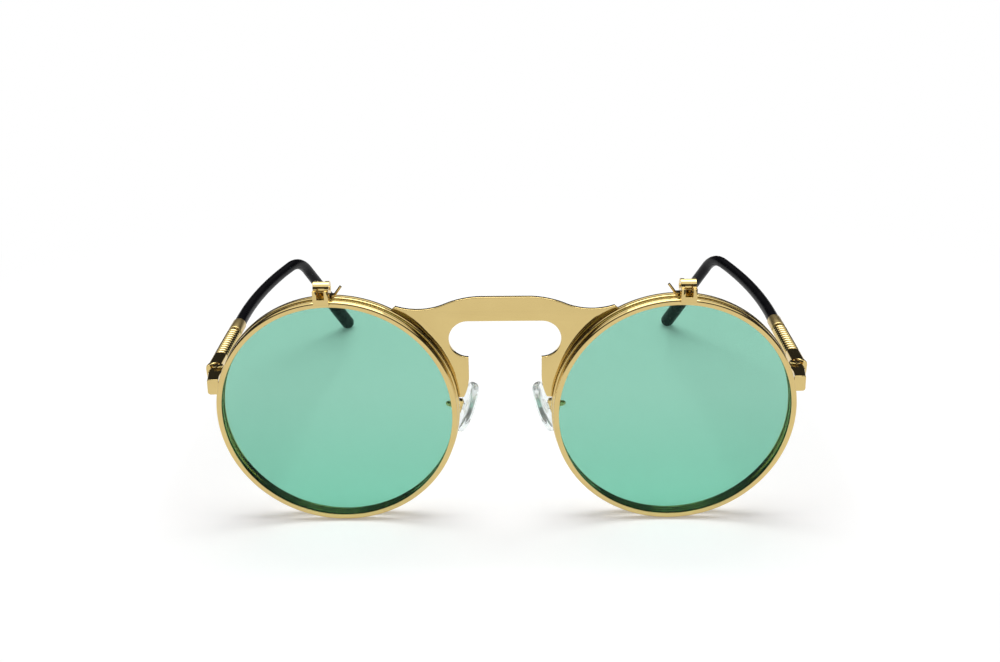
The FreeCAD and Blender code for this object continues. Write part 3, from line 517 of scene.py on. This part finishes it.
for side, sign in SIDES:
    half, deep, gap, tall = LOCK["half"], LOCK["half_depth"], LOCK["gap"], LOCK["height"]
    plan = rounded([(-half, -deep), (half, -deep), (half, deep), (-half, deep)], LOCK_CORNERS)
    plan = plan + [LOCK["x"], LOCK["y"]]
    barrels = [slab(plan, EYE[2] + gap, EYE[2] + gap + tall, LOCK["gap_round"], LOCK["end_round"]),
               slab(plan, EYE[2] - gap - tall, EYE[2] - gap, LOCK["end_round"], LOCK["gap_round"])]
    grids = [(grid[..., [0, 2, 1]] * [sign, 1, 1], closed) for grid, closed in barrels]
    piece_of("lock_barrels_" + side, mesh_of("lock_barrels_" + side, grids), gold, "front", "gold_plate",
             "rim_lock_" + side)
    seat = np.array([LOCK["x"], LOCK["y"], EYE[2] + gap + tall])
    screw = slotted_screw(LOCK_SCREW, lambda grid: (grid + seat) * [sign, 1, 1])
    piece_of("lock_screw_" + side, mesh_of("lock_screw_" + side, screw), gold, "front", "gold_plate",
             "rim_lock_screw_" + side)


# Temple blocks
# Cast blocks, filed round, with a tongue for the fork and a socket for the temple's core rod. In front they
# are hollowed to clear the fork's barrel, so that only the outer side reaches forward beside it.

SPLAY, LIFT = math.radians(3.6), math.radians(1.5)
AXIS_OUT, AXIS_UP = 1.45, 0.4
BLOCK = {"start": 0.35, "stop": 7.7, "inner": -0.3, "outer": 2.85, "half_height": 1.8, "clear": 1.74,
         "corner": 1.1, "front_round": 0.15, "back_round": 0.35, "ramp": 3.0}
HOLLOW_ROWS, BODY_ROWS = np.linspace(0.6, 1.7, 8), np.linspace(1.76, 7.2, 10)
TONGUE = {"half_height": 0.6, "web": 1.8, "web_start": 0.4, "reach": 2.8, "edge": 0.06}


def in_temple(points, sign):
    """Points of a temple's own frame (X outward, Y along, Z up) turned by its lift and its splay about the
    hinge pin, and mirrored for the left side."""
    c, s = math.cos(LIFT), math.sin(LIFT)
    lift = np.array([[1, 0, 0], [0, c, -s], [0, s, c]])
    c, s = math.cos(SPLAY), math.sin(SPLAY)
    splay = np.array([[c, s, 0], [-s, c, 0], [0, 0, 1]])
    return (points @ (splay @ lift).T + PIN) * [sign, 1, 1]


def block_body(x, z, y):
    """Keeps the outer side and moves the inner side out to the circle that clears the fork's barrel. The top
    is level, and the underside rises from the fork's height to the temple's axis."""
    hollow = np.sqrt(np.clip(BLOCK["clear"] ** 2 - y ** 2, 0, None))
    inner = np.where(y < BLOCK["clear"], hollow, BLOCK["inner"])
    across = (x - BLOCK["inner"]) / (BLOCK["outer"] - BLOCK["inner"])
    rise = AXIS_UP * np.where(z > 0, 1, np.clip((y - BLOCK["start"]) / BLOCK["ramp"], 0, 1))
    return np.stack([inner + across * (BLOCK["outer"] - inner), y, z + rise], axis=-1)


for side, sign in SIDES:
    height = BLOCK["half_height"]
    section = rounded([(BLOCK["inner"], -height), (BLOCK["outer"], -height), (BLOCK["outer"], height),
                       (BLOCK["inner"], height)], [BLOCK["corner"]] * 4, steps=8)
    rows = filed_rows(BLOCK["start"], BLOCK["stop"], BLOCK["front_round"], BLOCK["back_round"],
                      np.concatenate([HOLLOW_ROWS, BODY_ROWS]))
    body = lofted(section, rows, block_body)
    turn = np.linspace(np.pi / 2, 2 * np.pi, 30)
    barrel = TAB["barrel"] * np.stack([np.cos(turn), np.sin(turn)], axis=1)
    web, reach, edge = TONGUE["web"], TONGUE["reach"], TONGUE["edge"]
    plan = np.concatenate([barrel, [(web, TONGUE["web_start"]), (web, reach), (0, reach)]])
    tongue, closed = slab(plan, -TONGUE["half_height"], TONGUE["half_height"], edge, edge)
    grids = [body, (tongue[..., [0, 2, 1]], closed)]
    block = mesh_of("temple_joint_" + side, [(in_temple(grid, sign), closed) for grid, closed in grids])
    piece_of("temple_joint_" + side, block, gold, "temple_" + side, "gold_plate", "temple_block_" + side)


# Temple springs and core rods
# A close-wound coil of flattened gold plated wire over a straight steel rod, which runs on inside the
# sleeve.

SPRING = {"start": 7.7, "length": 15.6, "radius": 1.33, "turns": 12, "deep": 0.42, "wide": 0.58, "steps": 24}


def tube(path, radius, lean, sides, widen=1.0):
    """A bar: at each point of the path a circle of the given radius stands square to the path, its first
    spoke the given direction with its part along the path taken off, its other spoke widened by a factor."""
    along = np.gradient(path, axis=0)
    along /= np.linalg.norm(along, axis=1, keepdims=True)
    lean = np.broadcast_to(np.asarray(lean, float), path.shape)
    spoke = lean - (lean * along).sum(1, keepdims=True) * along
    spoke /= np.linalg.norm(spoke, axis=1, keepdims=True)
    other = np.cross(along, spoke)
    turn = np.linspace(0, 2 * np.pi, sides, endpoint=False)[None, :, None]
    radius = np.broadcast_to(radius, len(path))[:, None, None]
    ring = np.cos(turn) * spoke[:, None] + widen * np.sin(turn) * other[:, None]
    return path[:, None] + radius * ring, False


for side, sign in SIDES:
    angle = np.linspace(0, 2 * np.pi * SPRING["turns"], SPRING["steps"] * SPRING["turns"] + 1)
    run = np.linspace(SPRING["wide"], SPRING["length"] - SPRING["wide"], len(angle))
    outward = np.stack([np.cos(angle), 0 * angle, np.sin(angle)], axis=1)
    axis = np.stack([AXIS_OUT + 0 * run, SPRING["start"] + run, AXIS_UP + 0 * run], axis=1)
    helix = axis + outward * SPRING["radius"]
    grid, closed = tube(helix, SPRING["deep"], outward, sides=16, widen=SPRING["wide"] / SPRING["deep"])
    coil = mesh_of("temple_coil_" + side, [(in_temple(grid, sign), closed)])
    piece_of("temple_coil_" + side, coil, gold, "temple_" + side, "gold_plate", "temple_spring_" + side)

# Drawn spring steel: grey, with fine lines along the wire that spread its highlight, drawn coarser than they
# are so that they show.
steel = new_material("drawn_spring_steel_bright")
place = add(steel, "ShaderNodeTexCoord")
draw = add(steel, "ShaderNodeMapping", {"Vector": place.outputs["Object"]}, Scale=grain(0.17, 16.0, 0.17))
lines = add(steel, "ShaderNodeTexNoise", {"Vector": draw.outputs[0]}, Scale=1.0, Detail=2.0)
gloss = add(steel, "ShaderNodeMapRange", {"Value": lines.outputs[0]}, To_Min=0.2, To_Max=0.4)
shader = add(steel, "ShaderNodeBsdfPrincipled", {"Roughness": gloss.outputs[0]}, Metallic=1.0,
             Base_Color=linear("#B9B4A8"))
add(steel, "ShaderNodeOutputMaterial", {"Surface": shader.outputs[0]})

for side, _ in SIDES:
    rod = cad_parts["temple_core_" + side].data
    rod.materials.clear()
    rod.materials.append(steel)


# Ferrules
# Turned tubes of the same gold plated metal that close the coil and take the end of the sleeve.

FERRULE = {"start": 23.3, "length": 5.8, "radius": 1.7, "bore": 0.58, "bore_round": 0.05, "end_round": 0.3}

# The same plating over a turned and brushed tube: fine rings round it spread the highlight. They are drawn
# coarser than they are, so that they show.
satin = new_material("gold_plated_nickel_silver_satin")
place = add(satin, "ShaderNodeTexCoord")
rings = add(satin, "ShaderNodeMapping", {"Vector": place.outputs["Object"]}, Scale=grain(3.3, 0.11, 3.3))
brushed = add(satin, "ShaderNodeTexNoise", {"Vector": rings.outputs[0]}, Scale=1.0, Detail=2.0)
gloss = add(satin, "ShaderNodeMapRange", {"Value": brushed.outputs[0]}, To_Min=0.26, To_Max=0.42)
bump = add(satin, "ShaderNodeBump", {"Height": brushed.outputs[0]}, Strength=0.05, Distance=0.0001)
shader = add(satin, "ShaderNodeBsdfPrincipled", {"Roughness": gloss.outputs[0], "Normal": bump.outputs[0]},
             Metallic=1.0, Base_Color=linear("#CDB57A"))
add(satin, "ShaderNodeOutputMaterial", {"Surface": shader.outputs[0]})

for side, sign in SIDES:
    bore, radius, length = FERRULE["bore"], FERRULE["radius"], FERRULE["length"]
    radii = [FERRULE["bore_round"], FERRULE["end_round"], FERRULE["end_round"], FERRULE["bore_round"]]
    section = rounded([(bore, 0), (radius, 0), (radius, length), (bore, length)], radii)
    turn = np.linspace(0, 2 * np.pi, 48, endpoint=False)[:, None]
    grid = np.stack([AXIS_OUT + section[:, 0] * np.cos(turn), FERRULE["start"] + section[:, 1] + 0 * turn,
                     AXIS_UP + section[:, 0] * np.sin(turn)], axis=-1)
    cap = mesh_of("sleeve_ferrule_" + side, [(in_temple(grid, sign), True)])
    piece_of("sleeve_ferrule_" + side, cap, satin, "temple_" + side, "gold_plate", "temple_ferrule_" + side)


# Temple sleeves
# Black acetate tubes drawn over the core rods, bowed inward and bent down behind the ear, thicker at the
# rounded tips.

SLEEVE = {"start": 29.1, "lead": 4.0, "bow_radius": 149.0, "bow": math.radians(16.0), "bend_radius": 15.5,
          "bend": math.radians(45.7), "neck": 1.48, "tip": 2.25, "swell_at": (42, 70), "swell": (1.5, 1.68),
          "tip_length": 12, "tip_neck": 2.2, "dome_share": 0.985, "least": 0.05}


def arc_run(start, along, side, radius, angle, steps=24):
    """Points of an arc that leaves start along a heading and turns towards a side, and its last heading."""
    turn = np.linspace(0, angle, steps)[:, None]
    points = start + side * radius * (1 - np.cos(turn)) + along * radius * np.sin(turn)
    return points, along * math.cos(angle) + side * math.sin(angle)


def sleeve_line():
    """The sleeve's centre line: the straight lead, the inward bow, the ear bend, and the run to the tip,
    whose rounded end lies on the table. Points crowd towards the tip for its dome."""
    lead_run = np.linspace(0, SLEEVE["lead"], 4)
    lead = np.stack([AXIS_OUT + 0 * lead_run, SLEEVE["start"] + lead_run, AXIS_UP + 0 * lead_run], axis=1)
    backward, inward, downward = np.array([[0, 1.0, 0], [-1.0, 0, 0], [0, 0, -1.0]])
    bow, along = arc_run(lead[-1], backward, inward, SLEEVE["bow_radius"], SLEEVE["bow"])
    bend, along = arc_run(bow[-1], along, downward, SLEEVE["bend_radius"], SLEEVE["bend"])
    ends = in_temple(np.stack([bend[-1], bend[-1] + along]), 1)
    run = (ends[0, 2] - SLEEVE["tip"]) / (ends[0, 2] - ends[1, 2])
    shaft = bend[-1] + along * np.linspace(0, run, 24)[:, None]
    quarter = np.linspace(0, np.pi / 2, 12) * SLEEVE["dome_share"]
    dome = shaft[-1] + along * SLEEVE["tip"] * np.sin(quarter)[:, None]
    return np.concatenate([lead, bow[1:], bend[1:], shaft[1:], dome[1:]]), len(dome) - 1


# Polished black acetate: deep black with a high gloss, and a faint waviness of a few millimetres from hand
# polishing.
acetate = new_material("black_acetate_polished")
place = add(acetate, "ShaderNodeTexCoord")
cloud = add(acetate, "ShaderNodeTexNoise", {"Vector": place.outputs["Object"]}, Scale=grain(4.5), Detail=3.0)
tint = add(acetate, "ShaderNodeMix", {0: cloud.outputs[0]}, data_type="RGBA")
tint.inputs[6].default_value = linear("#060608")
tint.inputs[7].default_value = linear("#100F14")
gloss = add(acetate, "ShaderNodeMapRange", {"Value": cloud.outputs[0]}, To_Min=0.22, To_Max=0.34)
bump = add(acetate, "ShaderNodeBump", {"Height": cloud.outputs[0]}, Strength=0.03, Distance=0.0003)
shader = add(acetate, "ShaderNodeBsdfPrincipled",
             {"Base Color": tint.outputs[2], "Roughness": gloss.outputs[0], "Normal": bump.outputs[0]},
             IOR=1.48, Specular_IOR_Level=0.06)
add(acetate, "ShaderNodeOutputMaterial", {"Surface": shader.outputs[0]})

for side, sign in SIDES:
    line, dome_rows = sleeve_line()
    step = np.concatenate([[0], np.cumsum(np.linalg.norm(np.diff(line, axis=0), axis=1))])
    tip_at = step[-1 - dome_rows]
    stations = [0, *SLEEVE["swell_at"], tip_at - SLEEVE["tip_length"], tip_at]
    girth = np.interp(step, stations, [SLEEVE["neck"], *SLEEVE["swell"], SLEEVE["tip_neck"], SLEEVE["tip"]])
    past = step[-dome_rows:] - tip_at
    girth[-dome_rows:] = np.sqrt(np.maximum(SLEEVE["tip"] ** 2 - past ** 2, SLEEVE["least"] ** 2))
    grid, closed = tube(line, girth, (1, 0, 0), sides=32)
    cover = mesh_of("ear_sleeve_" + side, [(in_temple(grid, sign), closed)], smooth_angle=60)
    piece_of("ear_sleeve_" + side, cover, acetate, "temple_" + side, "black_sleeve", "temple_sleeve_" + side)


# Pad arms, cups and screws
# A wire arm is brazed to the back of each fixed rim, loops out and carries a small folded cup, in which a
# screw holds the pad's stud.

ARM_BREAK, CUP_BREAK = 0.05, 0.08

for side, _ in SIDES:
    softened("pad_wire_" + side, "pad_arm_" + side, ARM_BREAK, "front", "gold_plate", gold)
    softened("pad_box_" + side, "pad_cup_" + side, CUP_BREAK, "front", "gold_plate", gold)
    softened("pad_pin_" + side, "pad_screw_" + side, CUP_BREAK, "front", "gold_plate", gold)


# Nose pads
# Soft clear silicone, moulded as a flat oval that is domed on the side that lies on the nose, with a stud
# behind for the screw.

PAD = {"place": np.array([10.8, FRONT_Y + 9.8, 24.5]), "frontal": math.radians(19.0),
       "splay": math.radians(12.0), "height": 12.4, "width": 7.0, "end": 2.4, "thick": 2.0, "flat": 1.15,
       "nose_round": 1.2, "back_round": 0.4}
STUD = {"half_width": 0.4, "half_height": 0.75, "corner": 0.15, "sink": 0.3, "reach": 0.55,
        "root_round": 0.05, "end_round": 0.15}


def in_pad(points, sign):
    """Points of a pad's own frame turned by its lean and its splay about the screw, mirrored on the left."""
    c, s = math.cos(PAD["frontal"]), math.sin(PAD["frontal"])
    lean = np.array([[c, 0, -s], [0, 1, 0], [s, 0, c]])
    c, s = math.cos(PAD["splay"]), math.sin(PAD["splay"])
    splay = np.array([[c, s, 0], [-s, c, 0], [0, 0, 1]])
    return (points @ (splay @ lean).T + PAD["place"]) * [sign, 1, 1]


# Clear silicone: soft, slightly milky, with a satin skin from the mould, whose grain is drawn coarser than
# it is so that it shows.
silicone = new_material("clear_silicone_moulded")
place = add(silicone, "ShaderNodeTexCoord")
skin = add(silicone, "ShaderNodeTexNoise", {"Vector": place.outputs["Object"]}, Scale=grain(1.4), Detail=2.0)
bump = add(silicone, "ShaderNodeBump", {"Height": skin.outputs[0]}, Strength=0.04, Distance=0.0002)
shader = add(silicone, "ShaderNodeBsdfPrincipled", {"Normal": bump.outputs[0]}, Transmission_Weight=0.92,
             Roughness=0.07, IOR=1.41, Base_Color=linear("#F4FAFA"))
add(silicone, "ShaderNodeOutputMaterial", {"Surface": shader.outputs[0]})

for side, sign in SIDES:
    reach, half = PAD["height"] / 2 - PAD["end"], PAD["width"] / 2
    long_radius = (reach ** 2 + half ** 2 - PAD["end"] ** 2) / (2 * (half - PAD["end"]))
    centres_apart = long_radius - PAD["end"]
    corner = ((long_radius - half) * PAD["end"] / centres_apart, long_radius * reach / centres_apart)
    right_low, right_top = (corner[0], -corner[1]), corner
    left_top, left_low = (-corner[0], corner[1]), (-corner[0], -corner[1])
    oval = np.concatenate([arc(right_low, right_top, long_radius, 1, steps=24),
                           arc(right_top, left_top, PAD["end"], 1, steps=16),
                           arc(left_top, left_low, long_radius, 1, steps=24),
                           arc(left_low, right_low, PAD["end"], 1, steps=16)])
    near = -(PAD["flat"] + PAD["thick"])
    body, _ = slab(oval, near, -PAD["flat"], PAD["nose_round"], PAD["back_round"])
    body = body[..., [1, 0, 2]]
    wide, tall = STUD["half_width"], STUD["half_height"]
    stud_outline = rounded([(-wide, -tall), (wide, -tall), (wide, tall), (-wide, tall)],
                           [STUD["corner"]] * 4)
    stud, closed = slab(stud_outline, -PAD["flat"] - STUD["sink"], STUD["reach"], STUD["root_round"],
                        STUD["end_round"])
    stud = stud[..., [1, 0, 2]]
    grids = [(in_pad(body, sign), closed), (in_pad(stud, sign), closed)]
    pad = mesh_of("soft_pad_" + side, grids, smooth_angle=50)
    soft = piece_of("soft_pad_" + side, pad, silicone, "pad_" + side, "silicone", "nose_pad_" + side)
    soft.visible_shadow = False


# Studio
# A seamless white paper floor in a white surround, and one large soft lamp overhead. A cloth tent, lit high
# up, dark low down and where it opens towards the camera, gives the metal something to mirror.

FLOOR = 3.0

# Under the glasses the paper is lit by the lamp and takes their shadow. Further out its own glow takes over.
PAPER = {"centre": (0.0, -0.04, 0.0), "near": 0.1, "far": 0.3, "glow": 0.22, "white": 0.86}

floor_mesh = bpy.data.meshes.new("floor")
floor_mesh.from_pydata([(-FLOOR, -FLOOR, 0), (FLOOR, -FLOOR, 0), (FLOOR, FLOOR, 0), (-FLOOR, FLOOR, 0)], [],
                       [(0, 1, 2, 3)])
floor = bpy.data.objects.new("floor", floor_mesh)
bpy.context.scene.collection.objects.link(floor)
sweep = new_material("white_paper_sweep")
seen = add(sweep, "ShaderNodeLightPath")
first = add(sweep, "ShaderNodeMath", {0: seen.outputs["Is Camera Ray"], 1: seen.outputs["Is Glossy Ray"]},
            operation="MAXIMUM")
shown = add(sweep, "ShaderNodeMath", {0: first.outputs[0], 1: seen.outputs["Is Transmission Ray"]},
            operation="MAXIMUM")
place = add(sweep, "ShaderNodeTexCoord")
near = add(sweep, "ShaderNodeVectorMath", {0: place.outputs["Object"]}, operation="DISTANCE")
near.inputs[1].default_value = PAPER["centre"]
outward = add(sweep, "ShaderNodeMapRange", {"Value": near.outputs["Value"]}, From_Min=PAPER["near"],
              From_Max=PAPER["far"])
own = add(sweep, "ShaderNodeMapRange", {"Value": outward.outputs[0]}, To_Min=PAPER["glow"], To_Max=1.0)
glow = add(sweep, "ShaderNodeMath", {0: shown.outputs[0], 1: own.outputs[0]}, operation="MULTIPLY")
white = add(sweep, "ShaderNodeMapRange", {"Value": outward.outputs[0]}, To_Min=PAPER["white"], To_Max=0.0)
paper = add(sweep, "ShaderNodeBsdfDiffuse", {"Color": white.outputs[0]})
lit = add(sweep, "ShaderNodeEmission", {"Strength": glow.outputs[0]}, Color=linear("#FFFFFF"))
both = add(sweep, "ShaderNodeAddShader", {0: paper.outputs[0], 1: lit.outputs[0]})
add(sweep, "ShaderNodeOutputMaterial", {"Surface": both.outputs[0]})
floor_mesh.materials.append(sweep)

SKY_FILL = 0.35
world = bpy.data.worlds.new("white_surround")
bpy.context.scene.world = world
world.use_nodes = True
world.node_tree.nodes.clear()
ray = add(world, "ShaderNodeLightPath")
fill = add(world, "ShaderNodeMapRange", {"Value": ray.outputs["Is Diffuse Ray"]}, To_Min=1.0,
           To_Max=SKY_FILL)
sky = add(world, "ShaderNodeBackground", {"Strength": fill.outputs[0]}, Color=linear("#FFFFFF"))
add(world, "ShaderNodeOutputWorld", {"Surface": sky.outputs[0]})

TENT = 2.6
TENT_FOOT = 0.01
TENT_DARK, TENT_LIT = 0.03, 1.2
DARK_BELOW, LIT_ABOVE = 0.56 * TENT, 0.66 * TENT
OPENING = {"side": -0.3 * TENT, "middle": -0.5 * TENT, "top": 0.68 * TENT, "full": 0.56 * TENT}

tent = bpy.data.meshes.new("light_tent")
around = np.linspace(0, 2 * np.pi, 48, endpoint=False)
turn, rise = np.meshgrid(around, np.linspace(TENT_FOOT, np.pi / 2 - TENT_FOOT, 16))
shell = TENT * np.stack([np.cos(rise) * np.cos(turn), np.cos(rise) * np.sin(turn), np.sin(rise)], axis=-1)
index = np.arange(shell[..., 0].size).reshape(shell.shape[:2])
walls = np.stack([index[:-1], np.roll(index[:-1], -1, 1), np.roll(index[1:], -1, 1), index[1:]], axis=-1)
tent.from_pydata(shell.reshape(-1, 3).tolist(), [], walls.reshape(-1, 4).tolist() + [index[-1].tolist()])
tent_piece = bpy.data.objects.new("light_tent", tent)
bpy.context.scene.collection.objects.link(tent_piece)
for kind in ("camera", "diffuse", "shadow", "volume_scatter"):
    setattr(tent_piece, "visible_" + kind, False)
cloth = new_material("white_tent_cloth")
place = add(cloth, "ShaderNodeTexCoord")
where = add(cloth, "ShaderNodeSeparateXYZ", {"Vector": place.outputs["Object"]})
lit_cloth = add(cloth, "ShaderNodeMapRange", {"Value": where.outputs["Z"]}, From_Min=DARK_BELOW,
                From_Max=LIT_ABOVE, To_Min=TENT_DARK, To_Max=TENT_LIT)
ahead = add(cloth, "ShaderNodeMapRange", {"Value": where.outputs["Y"]}, From_Min=OPENING["side"],
            From_Max=OPENING["middle"])
below = add(cloth, "ShaderNodeMapRange", {"Value": where.outputs["Z"]}, From_Min=OPENING["top"],
            From_Max=OPENING["full"])
opening = add(cloth, "ShaderNodeMath", {0: ahead.outputs[0], 1: below.outputs[0]}, operation="MULTIPLY")
strength = add(cloth, "ShaderNodeMix", {0: opening.outputs[0], 2: lit_cloth.outputs[0]}, data_type="FLOAT")
strength.inputs[3].default_value = TENT_DARK

# Only rays that a mirror sent on see the pattern. What goes straight through a lens sees plain white.
path = add(cloth, "ShaderNodeLightPath")
mirrored = add(cloth, "ShaderNodeMath", {0: path.outputs["Glossy Depth"]}, operation="GREATER_THAN")
mirrored.inputs[1].default_value = 0.5
seen_cloth = add(cloth, "ShaderNodeMix", {0: mirrored.outputs[0], 3: strength.outputs[0]}, data_type="FLOAT")
seen_cloth.inputs[2].default_value = 1.0
shade = add(cloth, "ShaderNodeEmission", {"Strength": seen_cloth.outputs[0]}, Color=linear("#FFFFFF"))
add(cloth, "ShaderNodeOutputMaterial", {"Surface": shade.outputs[0]})
tent.materials.append(cloth)

LAMP = {"width": 0.7, "depth": 0.45, "watts": 4.7, "place": (0.0, 0.05, 0.8)}
lamp_data = bpy.data.lights.new("overhead_softbox", "AREA")
lamp_data.shape = "RECTANGLE"
lamp_data.size = LAMP["width"]
lamp_data.size_y = LAMP["depth"]
lamp_data.energy = LAMP["watts"]
lamp = bpy.data.objects.new("overhead_softbox", lamp_data)
lamp.location = LAMP["place"]
bpy.context.scene.collection.objects.link(lamp)


# Camera
# In front of the glasses and above them, at the photograph's angle.

CAMERA_AT = Vector((0.001345, -0.238778, 0.115888))
YAW, PITCH, ROLL = (math.radians(angle) for angle in (-0.76, 21.453, -0.69))
FOCAL_PIXELS = 897.6
IMAGE_WIDTH = 1000
camera_data = bpy.data.cameras.new("camera")
camera_data.sensor_width = 36.0
camera_data.lens = FOCAL_PIXELS * camera_data.sensor_width / IMAGE_WIDTH
camera_data.clip_start = 0.005
camera = bpy.data.objects.new("camera", camera_data)
ahead = Vector((math.sin(YAW) * math.cos(PITCH), math.cos(YAW) * math.cos(PITCH), -math.sin(PITCH)))
level = Vector((math.cos(YAW), -math.sin(YAW), 0))
upward = level.cross(ahead)
across = level * math.cos(ROLL) + upward * math.sin(ROLL)
upright = upward * math.cos(ROLL) - level * math.sin(ROLL)
camera.matrix_world = Matrix(((across.x, upright.x, -ahead.x, CAMERA_AT.x),
                              (across.y, upright.y, -ahead.y, CAMERA_AT.y),
                              (across.z, upright.z, -ahead.z, CAMERA_AT.z), (0, 0, 0, 1)))
bpy.context.scene.collection.objects.link(camera)
bpy.context.scene.camera = camera
bpy.context.scene.view_settings.view_transform = "Standard"
